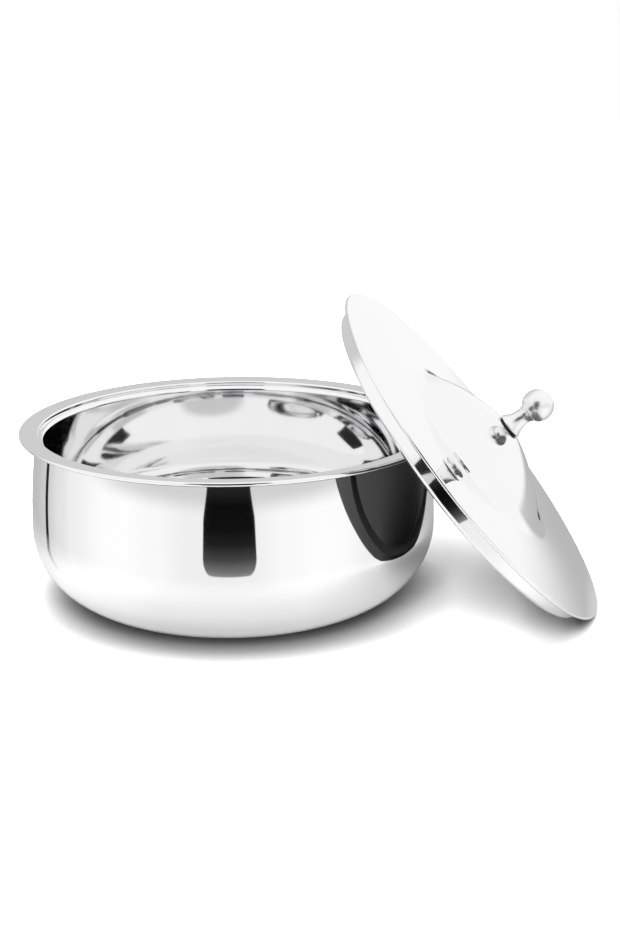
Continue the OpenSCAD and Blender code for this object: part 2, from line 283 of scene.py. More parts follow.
# %% The outline of the outer skin
FINE_STEP = 0.5
RUN_STEPS = 6
RIGHT_ANGLE = 90
HALF_TURN = 180
WALL_ANGLE = 45
WALL_SHIFT = math.tan(math.radians(WALL_ANGLE / 2))
rim_face = RIGHT_ANGLE + rim_slope


def skin(inset):
    """The skin's face from the filling hole to the neck bend, `inset` in from the outside."""
    shift = inset * WALL_SHIFT
    recess = foot_recess + inset
    points = straight((filling_hole, recess), (foot_radius - foot_recess + shift, recess), RUN_STEPS)
    points += straight((foot_radius + shift, inset), (base_middle[0], inset), RUN_STEPS)
    points += arc(base_middle, base_radius - inset, -RIGHT_ANGLE, -heel_turn)
    points += arc(heel_middle, heel_radius - inset, -heel_turn, 0)[1:]
    points += arc(side_middle, side_radius - inset, 0, side_turn, FINE_STEP)[1:]
    points += arc(neck_bend_middle, neck_bend + inset, HALF_TURN + side_turn, rim_face)[1:]
    return points


flange_end = [rim_point(bead_middle[0], flange_low), rim_point(bead_middle[0], flange_high)]
outer_outline = skin(0) + flange_end + skin(sheet)[::-1]
outer_skin = lathe("outer_skin", outer_outline)

# %% [markdown]
# The bowl is pressed from a second sheet. Its mouth is what makes such a pot look precise: the wall
# ends in a rounded shoulder, then comes a narrow ledge, a short step and the dished rim, and the rim's
# edge is folded under and grips the outer skin. The fold is the part of this object that takes most
# skill, in the shop as well as here: three sheets lie on each other there, beside a narrow hollow.

# %% The arcs of the bowl
ledge = pot_height - step_depth
bowl_radius = mouth_radius - ledge_width - shoulder_radius
shoulder_middle = (bowl_radius + shoulder_radius, ledge - shoulder_radius)
bowl_corner_middle = (bowl_radius - bowl_corner, bowl_floor + bowl_corner)
mouth_round = mouth_bend + sheet
mouth_middle = rim_point(mouth_radius + mouth_round, mouth_round)
print("the bowl's radius is", round(bowl_radius, 1), "and its ledge is", ledge, "high")

# %% The outline of the bowl
TIGHT_STEP = 10


def bowl_face(growth):
    """The bowl's face from its middle to the flat rim, `growth` out from the inside."""
    points = straight((0, bowl_floor - growth), (bowl_corner_middle[0], bowl_floor - growth), RUN_STEPS)
    points += arc(bowl_corner_middle, bowl_corner + growth, -RIGHT_ANGLE, 0)[1:]
    points += straight((bowl_radius + growth, bowl_corner_middle[1]),
                       (bowl_radius + growth, shoulder_middle[1]), RUN_STEPS)[1:]
    points += arc(shoulder_middle, shoulder_radius - growth, HALF_TURN, RIGHT_ANGLE, TIGHT_STEP)[1:]
    points += [(mouth_radius + growth, ledge - growth)]
    points += arc(mouth_middle, mouth_round - growth, HALF_TURN, rim_face, TIGHT_STEP)
    return points


fold_radius = bead_middle[0] - rim_fold
fold_edge = [rim_point(fold_radius, fold_high), rim_point(fold_radius, rim_edge)]
under_face = rim_slope - RIGHT_ANGLE
bead_hollow = arc(bead_middle, bead_radius - sheet, rim_face, under_face, TIGHT_STEP)
bead_outside = arc(bead_middle, bead_radius, under_face, rim_face, TIGHT_STEP)
bowl_outline = bowl_face(sheet) + bead_hollow + fold_edge + bead_outside + bowl_face(0)[::-1]
bowl = lathe("bowl_and_rim", bowl_outline)

# %% [markdown]
# The lid has its own frame, with height 0 at the top of its folded edge. It is turned in that frame and
# then laid against the pot. The top skin starts as a nearly flat brim, turns up through a hollow arc
# and closes in a crown. Brim and hollow arc touch, and so do hollow arc and crown.

# %% The arcs of the lid
def along(slope, length):
    """A step of that length, at right angles to a slope in degrees, away from the lid."""
    return length * math.sin(math.radians(slope)), length * math.cos(math.radians(slope))


SHEETS_IN_EDGE = 3
lid_edge = SHEETS_IN_EDGE * lid_sheet + (SHEETS_IN_EDGE - 1) * fold_gap
hem_radius = lid_edge / 2
hem_middle = (mouth_radius + lid_overlap - hem_radius, -hem_radius)
brim_step = along(brim_slope, hem_radius)
brim_outer = (hem_middle[0] + brim_step[0], hem_middle[1] + brim_step[1])
brim_inner = (
    bell_radius,
    brim_outer[1] + math.tan(math.radians(brim_slope)) * (brim_outer[0] - bell_radius),
)
flare_step = along(brim_slope, flare_radius)
flare_middle = (brim_inner[0] + flare_step[0], brim_inner[1] + flare_step[1])
crown_step = along(bell_slope, flare_radius + crown_radius)
crown_middle = (flare_middle[0] - crown_step[0], flare_middle[1] - crown_step[1])
seat_height = crown_middle[1] + math.sqrt(crown_radius ** 2 - (seat_radius - crown_middle[0]) ** 2)
crown_end = math.degrees(math.asin((seat_radius - crown_middle[0]) / crown_radius))
print("the bell is", round(seat_height, 1), "mm high and ends at a slope of", round(crown_end, 1))

# %% [markdown]
# The lid stands on the table and leans with the pressed recess of its underside on the pot's bead. Its
# lowest point is the folded edge or the corner of the skirt, whichever reaches further down when the
# lid is tilted. The bead then says how far the lid is shifted, with a hair of air between the two.

# %% The frame of the leaning lid
skirt_radius = bowl_radius - skirt_gap
pan_low = -lid_edge - skirt_depth
recess_height = pan_low + pan_recess
recess_radius = skirt_radius - pan_ring_width
lean = math.radians(lid_lean)
edge_drop = hem_middle[0] * math.sin(lean) + hem_radius * math.cos(lean) + hem_radius
skirt_drop = ((skirt_radius - skirt_corner) * math.sin(lean)
              - (pan_low + skirt_corner) * math.cos(lean) + skirt_corner)
lid_rise = max(edge_drop, skirt_drop)
bead_reach = bead_middle[0] * math.sin(lean) + bead_middle[1] * math.cos(lean) + bead_radius
lid_shift = (bead_reach + lean_gap - recess_height - lid_rise * math.cos(lean)) / math.sin(lean)
lid_place = (
    Matrix.Rotation(math.radians(lid_turn), 4, "Z")
    @ Matrix.Translation((lid_shift * MM, 0, lid_rise * MM))
    @ Matrix.Rotation(lean, 4, "Y")
)
print("the lid's frame is at", [round(v, 4) for v in lid_place.translation])

# %% [markdown]
# The edge of the lid is folded round the flange of its underside. Seen from the side this gives the
# bright round line with a dark line under it. The two skins are turned as two pieces, as they are made.

# %% The lid's top skin
CROWN_STEP = 1


def lid_face(inset):
    """The lid's face from the knob's seat down to the brim's edge, `inset` below the outside."""
    low = crown_radius - inset
    end = math.degrees(math.asin(min(1, (seat_radius - crown_middle[0]) / low)))
    points = [(stud_hole, seat_height - inset)]
    crown = arc(crown_middle, low, RIGHT_ANGLE - end, RIGHT_ANGLE - bell_slope, CROWN_STEP)
    points += [(radius, min(height, seat_height - inset)) for radius, height in crown]
    flare_start = -RIGHT_ANGLE - bell_slope
    flare_stop = -RIGHT_ANGLE - brim_slope
    points += arc(flare_middle, flare_radius + inset, flare_start, flare_stop)[1:]
    return points


brim_run = straight(lid_face(0)[-1], brim_outer, RUN_STEPS)[1:]
hem_round = arc(hem_middle, hem_radius, RIGHT_ANGLE - brim_slope, -RIGHT_ANGLE, TIGHT_STEP)[1:]
fold_inner = hem_middle[0] - fold_width
lid_outline = lid_face(0) + brim_run + hem_round + [
    (fold_inner, -lid_edge),
    (fold_inner, lid_sheet - lid_edge),
    (hem_middle[0], lid_sheet - lid_edge),
    (hem_middle[0], -lid_sheet),
] + lid_face(lid_sheet)[::-1]
lid_skin = lathe("lid_top_skin", lid_outline, lid_place)

# %% [markdown]
# The underside is one pressed sheet too. Its skirt goes up to the brim, and there its own flange lies
# between the brim and the fold.

# %% The lid's underside
def pan_face(inset):
    """The pan's face from the filling hole to the top of the skirt, `inset` in from the outside."""
    shift = inset * WALL_SHIFT
    recess = recess_height + inset
    low = pan_low + inset
    corner_middle = (skirt_radius - skirt_corner, pan_low + skirt_corner)
    points = straight((filling_hole, recess), (recess_radius - pan_recess + shift, recess), RUN_STEPS)
    points += straight((recess_radius + shift, low), (corner_middle[0], low), RUN_STEPS)
    points += arc(corner_middle, skirt_corner - inset, -RIGHT_ANGLE, 0, TIGHT_STEP)[1:]
    return points


pan_flange_top = -lid_sheet - fold_gap
pan_flange_low = pan_flange_top - lid_sheet
pan_outline = pan_face(0) + [
    (skirt_radius, pan_flange_low),
    (hem_middle[0] - fold_gap, pan_flange_low),
    (hem_middle[0] - fold_gap, pan_flange_top),
    (skirt_radius - lid_sheet, pan_flange_top),
] + pan_face(lid_sheet)[::-1]
lid_underside = lathe("lid_underside", pan_outline, lid_place)

# %% [markdown]
# The knob is turned from bar. A thin disc sits on a black seal, the neck narrows to a waist and opens
# again, and a fine ring marks where the ball begins. Knob and seal stand on the flat top of the bell.

# %% The arcs of the knob's neck
def waist_arc(end_radius, rise):
    """Radius of the hollow arc that leaves the waist upright and reaches that radius after the rise."""
    out = end_radius - waist_radius
    return (out ** 2 + rise ** 2) / (2 * out)


knob_foot = seat_height + seal_thickness
foot_rise = waist_height - disc_thickness
top_rise = neck_height - waist_height
foot_arc = waist_arc(neck_foot_radius, foot_rise)
top_arc = waist_arc(neck_top_radius, top_rise)
foot_angle = math.degrees(math.asin(foot_rise / foot_arc))
top_angle = math.degrees(math.asin(top_rise / top_arc))
disc_round = disc_thickness / 2
disc_middle = (disc_radius - disc_round, disc_round)
foot_middle = (waist_radius + foot_arc, waist_height)
top_middle = (waist_radius + top_arc, waist_height)
ring_round = ring_thickness / 2
ring_middle = (ring_radius - ring_round, neck_height + ring_round)

# %% The outline of the neck
neck_outline = [(stud_hole, 0)]
neck_outline += arc(disc_middle, disc_round, -RIGHT_ANGLE, RIGHT_ANGLE, TIGHT_STEP)
neck_outline += arc(foot_middle, foot_arc, HALF_TURN + foot_angle, HALF_TURN)
neck_outline += arc(top_middle, top_arc, HALF_TURN, HALF_TURN - top_angle)[1:]
neck_outline += arc(ring_middle, ring_round, -RIGHT_ANGLE, RIGHT_ANGLE, TIGHT_STEP)
neck_outline += [(stud_hole, neck_height + ring_thickness)]
knob_place = lid_place @ Matrix.Translation((0, 0, knob_foot * MM))
knob_neck = lathe("turned_neck", neck_outline, knob_place)

# %% [markdown]
# The ball has a flat cut where it meets the ring, and a blind hole for the stud. The seal is a flat
# washer with rounded edges.

# %% The knob's ball
ball_cut = neck_height + ring_thickness
ball_middle = (0, ball_cut + ball_lift)
cut_angle = math.degrees(math.asin(ball_lift / ball_radius))
hole_end = ball_cut + stud_depth_in_ball
ball_outline = [(0, hole_end), (stud_hole, hole_end), (stud_hole, ball_cut)]
ball_outline += arc(ball_middle, ball_radius, -cut_angle, RIGHT_ANGLE)[:-1]
ball_outline += [(0, ball_middle[1] + ball_radius)]
knob_ball = lathe("turned_ball", ball_outline, knob_place)

# %% The seal
SEAL_ROUNDING = 0.25
seal_round = seal_thickness * SEAL_ROUNDING
seal_side = seal_radius - seal_round
seal_outline = [(stud_hole, 0), (seal_side, 0)]
seal_outline += arc((seal_side, seal_round), seal_round, -RIGHT_ANGLE, 0, TIGHT_STEP)[1:]
seal_outline += arc((seal_side, seal_thickness - seal_round), seal_round, 0, RIGHT_ANGLE, TIGHT_STEP)
seal_outline += [(stud_hole, seal_thickness)]
seal_place = lid_place @ Matrix.Translation((0, 0, seat_height * MM))
knob_seal = lathe("black_seal", seal_outline, seal_place)

# %% [markdown]
# Every turned piece rides on the pot or on the lid and stands for its solid. The foam, the plugs and
# the fasteners keep their solids: they are simple, hidden or nearly so, and the right shape already.

# %% What rides on what
turned_pieces = (
    (outer_skin, "pot", "outer_shell", "outer_steel"),
    (bowl, "pot", "inner_bowl", "inner_steel"),
    (lid_skin, "lid", "lid_shell", "lid_steel"),
    (lid_underside, "lid", "lid_pan", "inner_steel"),
    (knob_neck, "lid", "knob_neck", "knob_steel"),
    (knob_ball, "lid", "knob_ball", "knob_steel"),
    (knob_seal, "lid", "knob_seal", "seal_rubber"),
)
for piece, body, solid, finish in turned_pieces:
    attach(piece, body)
    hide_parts(solid)

# %% [markdown]
# Polished steel is a mirror with a past. The polishing wheel runs round the piece and leaves very fine
# rings, and hands leave a breath of haze. Both are too faint to see as marks, but they keep the
# reflections from looking like glass. The rings come from noise that is stretched round the axis: its
# coordinates are the distance from the axis and the height, so it changes only across the rings.

# %% Helpers for materials
NOISE_LOW = 0.3
NOISE_HIGH = 0.7
MIX_FIRST = 6
MIX_SECOND = 7
MIX_RESULT = 2


def new_finish(name):
    """A fresh material, its nodes, its links and its shader."""
    finish = bpy.data.materials.new(name)
    finish.use_nodes = True
    tree = finish.node_tree
    return finish, tree.nodes, tree.links, tree.nodes["Principled BSDF"]


def spread(nodes, links, source, low, high, start=NOISE_LOW, end=NOISE_HIGH):
    """A value that goes from low to high while the source goes from start to end."""
    ranged = nodes.new("ShaderNodeMapRange")
    ranged.inputs["From Min"].default_value = start
    ranged.inputs["From Max"].default_value = end
    ranged.inputs["To Min"].default_value = low
    ranged.inputs["To Max"].default_value = high
    links.new(source, ranged.inputs["Value"])
    return ranged.outputs["Result"]


def noise_in(nodes, links, coordinates, scale, detail):
    """A noise value from 0 to 1 at each point."""
    noise = nodes.new("ShaderNodeTexNoise")
    noise.inputs["Scale"].default_value = scale
    noise.inputs["Detail"].default_value = detail
    links.new(coordinates, noise.inputs["Vector"])
    return noise.outputs["Fac"]


def tint(nodes, links, shader, factor, dark, light):
    """Let the base colour vary between two colours."""
    mix = nodes.new("ShaderNodeMix")
    mix.data_type = "RGBA"
    mix.inputs[MIX_FIRST].default_value = (*dark, 1)
    mix.inputs[MIX_SECOND].default_value = (*light, 1)
    links.new(factor, mix.inputs["Factor"])
    links.new(mix.outputs[MIX_RESULT], shader.inputs["Base Color"])


def raise_by(nodes, links, shader, relief, strength, height):
    """Let a noise value raise the surface by a height in millimetres."""
    bump = nodes.new("ShaderNodeBump")
    bump.inputs["Strength"].default_value = strength
    bump.inputs["Distance"].default_value = height * MM
    links.new(relief, bump.inputs["Height"])
    links.new(bump.outputs["Normal"], shader.inputs["Normal"])


# %% Coordinates that run across the polishing rings
RING_STRETCH = 1400


def ring_coordinates(nodes, links, place):
    """Distance from the axis and height, stretched: noise in them forms rings."""
    flat = nodes.new("ShaderNodeVectorMath")
    flat.operation = "MULTIPLY"
    flat.inputs[1].default_value = (1, 1, 0)
    links.new(place, flat.inputs[0])
    distance = nodes.new("ShaderNodeVectorMath")
    distance.operation = "LENGTH"
    links.new(flat.outputs["Vector"], distance.inputs[0])
    apart = nodes.new("ShaderNodeSeparateXYZ")
    links.new(place, apart.inputs["Vector"])
    joined = nodes.new("ShaderNodeCombineXYZ")
    links.new(distance.outputs["Value"], joined.inputs["X"])
    links.new(apart.outputs["Z"], joined.inputs["Z"])
    stretched = nodes.new("ShaderNodeVectorMath")
    stretched.operation = "SCALE"
    stretched.inputs["Scale"].default_value = RING_STRETCH
    links.new(joined.outputs["Vector"], stretched.inputs[0])
    return stretched.outputs["Vector"]


# %% Polished steel
STEEL_DARK = (0.90, 0.90, 0.905)
STEEL_LIGHT = (0.95, 0.95, 0.95)
RING_DETAIL = 3
HAZE_SCALE = 18
HAZE_DETAIL = 4
HAZE_START = 0.1
HAZE_END = 0.45


def polished_steel(name, roughness_range, ring_height):
    """Polished steel with faint rings and a breath of haze. The rings' height is in millimetres."""
    finish, nodes, links, shader = new_finish(name)
    shader.inputs["Metallic"].default_value = 1
    place = nodes.new("ShaderNodeTexCoord").outputs["Object"]
    rings = noise_in(nodes, links, ring_coordinates(nodes, links, place), 1, RING_DETAIL)
    haze = noise_in(nodes, links, place, HAZE_SCALE, HAZE_DETAIL)
    both = nodes.new("ShaderNodeMath")
    both.operation = "MULTIPLY"
    links.new(rings, both.inputs[0])
    links.new(haze, both.inputs[1])
    roughness = spread(nodes, links, both.outputs["Value"], *roughness_range, HAZE_START, HAZE_END)
    links.new(roughness, shader.inputs["Roughness"])
    tint(nodes, links, shader, haze, STEEL_DARK, STEEL_LIGHT)
    raise_by(nodes, links, shader, rings, 1, ring_height)
    return finish


# %% [markdown]
# The outsides get the finest polish. The inside of the bowl and the lid's underside are a little
# duller. The knob is turned and only brushed up, so its reflections are soft.

# %% The finishes of the steel pieces
MIRROR = (0.02, 0.06)
DULLER = (0.03, 0.08)
TURNED = (0.26, 0.33)
FINE_RINGS = 0.00002
TURNED_RINGS = 0.00003
outer_finish = polished_steel("polished_outer_steel", MIRROR, FINE_RINGS)
bowl_finish = polished_steel("polished_bowl_steel", DULLER, FINE_RINGS)
lid_finish = polished_steel("polished_lid_steel", MIRROR, FINE_RINGS)
pan_finish = polished_steel("polished_underside_steel", DULLER, FINE_RINGS)
knob_finish = polished_steel("polished_knob_steel", TURNED, TURNED_RINGS)
steel_finishes = (outer_finish, bowl_finish, lid_finish, pan_finish, knob_finish)
print("steel finishes:", [finish.name for finish in steel_finishes])

# %% [markdown]
# The other finishes are plain stuff: black rubber, pale plastic, foam and zinc-plated fasteners. They
# hardly show, but a turn of the camera can reach the plugs, and the seal is a black line under the knob.

# %% Rubber, plastic, foam and plated steel
SPECKLE_DETAIL = 5
SPECKLE_STRENGTH = 0.5
ROUGHNESS_SWING = 0.1


def matt_stuff(name, dark, light, grain, roughness, grain_height, metallic=0):
    """A plain material whose colour and surface vary with a fine grain."""
    finish, nodes, links, shader = new_finish(name)
    shader.inputs["Metallic"].default_value = metallic
    place = nodes.new("ShaderNodeTexCoord").outputs["Object"]
    speckle = noise_in(nodes, links, place, grain, SPECKLE_DETAIL)
    tint(nodes, links, shader, speckle, dark, light)
    rough = spread(nodes, links, speckle, roughness - ROUGHNESS_SWING, roughness + ROUGHNESS_SWING)
    links.new(rough, shader.inputs["Roughness"])
    raise_by(nodes, links, shader, speckle, SPECKLE_STRENGTH, grain_height)
    return finish


rubber = matt_stuff("black_rubber", dark=(0.012, 0.012, 0.012), light=(0.03, 0.03, 0.03),
                    grain=900, roughness=0.6, grain_height=0.05)
plastic = matt_stuff("pale_plastic", dark=(0.72, 0.72, 0.70), light=(0.80, 0.80, 0.78),
                     grain=400, roughness=0.5, grain_height=0.02)
foam = matt_stuff("rigid_foam", dark=(0.70, 0.62, 0.40), light=(0.82, 0.75, 0.55),
                  grain=250, roughness=0.8, grain_height=0.4)
plated = matt_stuff("plated_fasteners", dark=(0.50, 0.50, 0.51), light=(0.62, 0.62, 0.63),
                    grain=700, roughness=0.35, grain_height=0.02, metallic=1)

# %% Give each piece its finish
def dress(piece, finish):
    """Put one finish on a piece."""
    piece.data.materials.clear()
    piece.data.materials.append(finish)


dress(outer_skin, outer_finish)
dress(bowl, bowl_finish)
dress(lid_skin, lid_finish)
dress(lid_underside, pan_finish)
dress(knob_neck, knob_finish)
dress(knob_ball, knob_finish)
dress(knob_seal, rubber)
kept_solids = (
    ("bowl_insulation", foam),
    ("lid_insulation", foam),
    ("base_plug", plastic),
    ("lid_plug", plastic),
    ("knob_stud", plated),
    ("knob_washer", plated),
    ("knob_nut", plated),
)
for solid, finish in kept_solids:
    dress(cad_nodes[solid], finish)
print("turned pieces:", len(turned_pieces), "solids kept:", len(kept_solids))

# %% [markdown]
# The camera stands about a metre in front of the pot and looks down on it at 16 degrees. Its place came
# from the ellipses of the rim: their width against their height gives the angle from above, and the
# difference between the near and the far half gives the distance.

# %% The camera
IMAGE_HEIGHT = 930
FOCAL_PIXELS = 1822
SENSOR = 36
camera_place = (43.8, -1000, 357.6)
camera_pitch = 15.74
camera_roll = -0.36
NEAREST = 0.01
FARTHEST = 50

camera_data = bpy.data.cameras.new("camera")
camera_data.sensor_width = SENSOR
camera_data.lens = FOCAL_PIXELS / IMAGE_HEIGHT * SENSOR
camera_data.clip_start = NEAREST
camera_data.clip_end = FARTHEST
camera = bpy.data.objects.new("camera", camera_data)
bpy.context.scene.collection.objects.link(camera)
camera.matrix_world = (
    Matrix.Translation(Vector(camera_place) * MM)
    @ Matrix.Rotation(math.radians(RIGHT_ANGLE - camera_pitch), 4, "X")
    @ Matrix.Rotation(math.radians(camera_roll), 4, "Z")
)
bpy.context.scene.camera = camera
print("lens", round(camera_data.lens, 1), "mm")

# %% [markdown]
# A mirror shows the room and not itself, so the room is half of its look. A photographer puts such a
# pot in a white tent and leaves a gap for the camera: the gap is the dark panel in the middle of the
# pot. Here the world is the white tent, a little darker behind the pot and near the table. Cards that
# only reflections see stand for the gap and for a seam of the tent.
#
# The room needs three small helpers: one that takes a number or a node's output alike, one for soft
# steps, and one for a row of grey levels.

# %% Helpers for the room
STOP_START = 0.5


def give(links, socket, given):
    """Give a socket a number or the output of another node."""
    if isinstance(given, (int, float)):
        socket.default_value = given
    else:
        links.new(given, socket)


def soft_step(nodes, links, value, start, end, low, high):
    """A value that goes softly from low to high while another goes from start to end."""
    step = nodes.new("ShaderNodeMapRange")
    step.interpolation_type = "SMOOTHSTEP"
    step.inputs["From Min"].default_value = start
    step.inputs["From Max"].default_value = end
    give(links, step.inputs["To Min"], low)
    give(links, step.inputs["To Max"], high)
    links.new(value, step.inputs["Value"])
    return step.outputs["Result"]


def grey_levels(nodes, links, value, levels, easing):
    """The grey that belongs to a value. Levels are pairs of a value and a brightness."""
    first = levels[0][0]
    last = levels[-1][0]
    share = nodes.new("ShaderNodeMapRange")
    share.inputs["From Min"].default_value = first
    share.inputs["From Max"].default_value = last
    links.new(value, share.inputs["Value"])
    ramp = nodes.new("ShaderNodeValToRGB")
    ramp.color_ramp.interpolation = easing
    stops = ramp.color_ramp.elements
    while len(stops) < len(levels):
        stops.new(STOP_START)
    for stop, (place, bright) in zip(stops, levels):
        stop.position = (place - first) / (last - first)
        stop.color = (bright, bright, bright, 1)
    links.new(share.outputs["Result"], ramp.inputs["Fac"])
    return ramp.outputs["Color"]


# %% [markdown]
# The table is darker towards its far side. How bright it is depends on the angle between a direction
# and the far side, written as a cosine: -1 is towards the camera and 1 is away from it. The world uses
# this below the horizon, as light. The floor near the pot carries it in the colour that mirrors see,
# and there the darkening is painted shade. Steel takes a little light away, so each level is divided by
# the share that the steel gives back.

# %% How bright the table is in each direction
STEEL_SHARE = 0.93
FAR_SIDE_TURN = math.radians(5)
FAR_SIDE = (math.sin(FAR_SIDE_TURN), math.cos(FAR_SIDE_TURN), 0)
table_levels = (
    (-1.0, 0.86),
    (-0.97, 0.87),
    (-0.82, 0.95),
    (-0.57, 0.99),
    (-0.42, 0.98),
    (0.09, 0.86),
    (0.26, 0.77),
    (0.57, 0.60),
    (0.82, 0.50),
    (1.0, 0.46),
)


def table_light(nodes, links, direction):
    """How bright the table is towards a direction."""
    flat = nodes.new("ShaderNodeVectorMath")
    flat.operation = "MULTIPLY"
    flat.inputs[1].default_value = (1, 1, 0)
    links.new(direction, flat.inputs[0])
    unit = nodes.new("ShaderNodeVectorMath")
    unit.operation = "NORMALIZE"
    links.new(flat.outputs["Vector"], unit.inputs[0])
    along_far = nodes.new("ShaderNodeVectorMath")
    along_far.operation = "DOT_PRODUCT"
    along_far.inputs[1].default_value = FAR_SIDE
    links.new(unit.outputs["Vector"], along_far.inputs[0])
    levels = [(side, level / STEEL_SHARE) for side, level in table_levels]
    return grey_levels(nodes, links, along_far.outputs["Value"], levels, "EASE")


# %% [markdown]
# The tent is white. Its hem, the part near the table on the camera's side, is a little grey, and so is
# a round patch behind the pot on the left. The flat rim shows this patch, which turns its left part
# grey. Heights and sides are parts of a direction of length 1: 0 in height is the horizon.

# %% The tent
TENT_WHITE = 1.0
TENT_HEM = 0.68
HEM_LOW = 0.02
HEM_HIGH = 0.3
FRONT_STARTS = 0.05
FRONT_FULL = -0.4
GREY_BACK = 0.60
GREY_TURN = math.radians(-28)
GREY_RISE = math.radians(18)
GREY_OUTER = math.cos(math.radians(44))
GREY_INNER = math.cos(math.radians(28))
TABLE_FULL = -0.11
TABLE_ENDS = -0.02


def tent_brightness(nodes, links):
    """What a mirror sees of the tent and the table in each direction."""
    towards = nodes.new("ShaderNodeTexCoord").outputs["Generated"]
    apart = nodes.new("ShaderNodeSeparateXYZ")
    links.new(towards, apart.inputs["Vector"])
    to_grey = nodes.new("ShaderNodeVectorMath")
    to_grey.operation = "DOT_PRODUCT"
    grey_middle = Vector((math.sin(GREY_TURN), math.cos(GREY_TURN), math.tan(GREY_RISE)))
    to_grey.inputs[1].default_value = grey_middle.normalized()
    links.new(towards, to_grey.inputs[0])
    hem = soft_step(nodes, links, apart.outputs["Z"], HEM_LOW, HEM_HIGH, TENT_HEM, TENT_WHITE)
    front = soft_step(nodes, links, apart.outputs["Y"], FRONT_STARTS, FRONT_FULL, TENT_WHITE, hem)
    tent = soft_step(nodes, links, to_grey.outputs["Value"], GREY_OUTER, GREY_INNER,
                     front, GREY_BACK / STEEL_SHARE)
    above_table = soft_step(nodes, links, apart.outputs["Z"], TABLE_FULL, TABLE_ENDS, 0, 1)
    seen = nodes.new("ShaderNodeMix")
    seen.data_type = "RGBA"
    links.new(above_table, seen.inputs["Factor"])
    links.new(table_light(nodes, links, towards), seen.inputs[MIX_FIRST])
    links.new(tent, seen.inputs[MIX_SECOND])
    return seen.outputs[MIX_RESULT]


# %% [markdown]
# Each kind of ray gets its own room. The camera sees plain white. A mirror sees the tent. What is matt
# gets an even light, and so does a mirror that throws light on something matt, because bright spots
# from the polished steel would otherwise speckle the floor.
#
# A ray's depth counts its bounces, so a limit of a half means once or more, and one and a half means
# twice or more.

# %% Helpers that tell rays apart
ONCE = 0.5
TWICE = 1.5


def mix_of(nodes, links, factor, first, second):
    """A mix of two shaders, or of a shader and nothing."""
    mix = nodes.new("ShaderNodeMixShader")
    links.new(factor, mix.inputs["Fac"])
    if first is not None:
        links.new(first, mix.inputs[1])
    if second is not None:
        links.new(second, mix.inputs[2])
    return mix.outputs["Shader"]


def more_than(nodes, links, value, limit):
    """1 where a value is over a limit."""
    over = nodes.new("ShaderNodeMath")
    over.operation = "GREATER_THAN"
    over.inputs[1].default_value = limit
    links.new(value, over.inputs[0])
    return over.outputs["Value"]


# %% The world
AMBIENT = 0.3
PLAIN_WHITE = (1, 1, 1, 1)


def hang_tent():
    """Make the world that lights the scene and shows in the steel."""
    world = bpy.data.worlds.new("white_tent")
    bpy.context.scene.world = world
    world.use_nodes = True
    world.cycles.sampling_method = "NONE"
    nodes = world.node_tree.nodes
    links = world.node_tree.links
    ray = nodes.new("ShaderNodeLightPath")
    matt_before = more_than(nodes, links, ray.outputs["Diffuse Depth"], ONCE)
    even = nodes["Background"]
    even.inputs["Color"].default_value = PLAIN_WHITE
    even.inputs["Strength"].default_value = AMBIENT
    mirrored = nodes.new("ShaderNodeBackground")
    links.new(tent_brightness(nodes, links), mirrored.inputs["Color"])
    white = nodes.new("ShaderNodeBackground")
    white.inputs["Color"].default_value = PLAIN_WHITE
    reflected = mix_of(nodes, links, matt_before, mirrored.outputs[0], even.outputs[0])
    lit = mix_of(nodes, links, ray.outputs["Is Glossy Ray"], even.outputs[0], reflected)
    every = mix_of(nodes, links, ray.outputs["Is Camera Ray"], lit, white.outputs[0])
    links.new(every, nodes["World Output"].inputs["Surface"])
    print("the world is", world.name)


hang_tent()

# %% [markdown]
# Two soft lamps light what is matt: one from above, which puts a short soft shadow under the pot, and
# one from the camera's side, which reaches under the leaning lid. Mirrors don't see them.

# %% The lamps
def soft_sun(name, strength, from_above, width):
    """A soft lamp far away, on the camera's side, at an angle from straight above."""
    lamp = bpy.data.lights.new(name, "SUN")
    lamp.energy = strength
    lamp.angle = math.radians(width)
    holder = bpy.data.objects.new(name, lamp)
    bpy.context.scene.collection.objects.link(holder)
    holder.matrix_world = Matrix.Rotation(math.radians(from_above), 4, "X")
    holder.visible_glossy = False
    print(name, "shines from", from_above, "degrees off the vertical")


soft_sun("top_lamp", strength=0.6, from_above=0, width=60)
soft_sun("front_lamp", strength=2.6, from_above=62, width=40)

# %% [markdown]
# The floor keeps the object's shadow from the lamps. For the camera it is white where nothing shades
# it, and right beside whatever stands on it a painted contact shade darkens its colour. Mirrors see
# the table near the pot, graded with painted shade, which fades out into the world's table further
# away. After two mirrors it is painted dark, as painted shade for the narrow room between the lid
# and the pot.

# %% The floor as the camera sees it
FLOOR_WHITE = 2.8
PAINTED_SHADE_REACH = 30
PAINTED_SHADE_SAMPLES = 16
PAINTED_SHADE_START = 0.15
PAINTED_CONTACT_SHADE = 0.12


def plain_matt(nodes, level):
    """A plain grey matt shader."""
    matt = nodes.new("ShaderNodeBsdfDiffuse")
    matt.inputs["Color"].default_value = (level, level, level, 1)
    return matt.outputs["BSDF"]


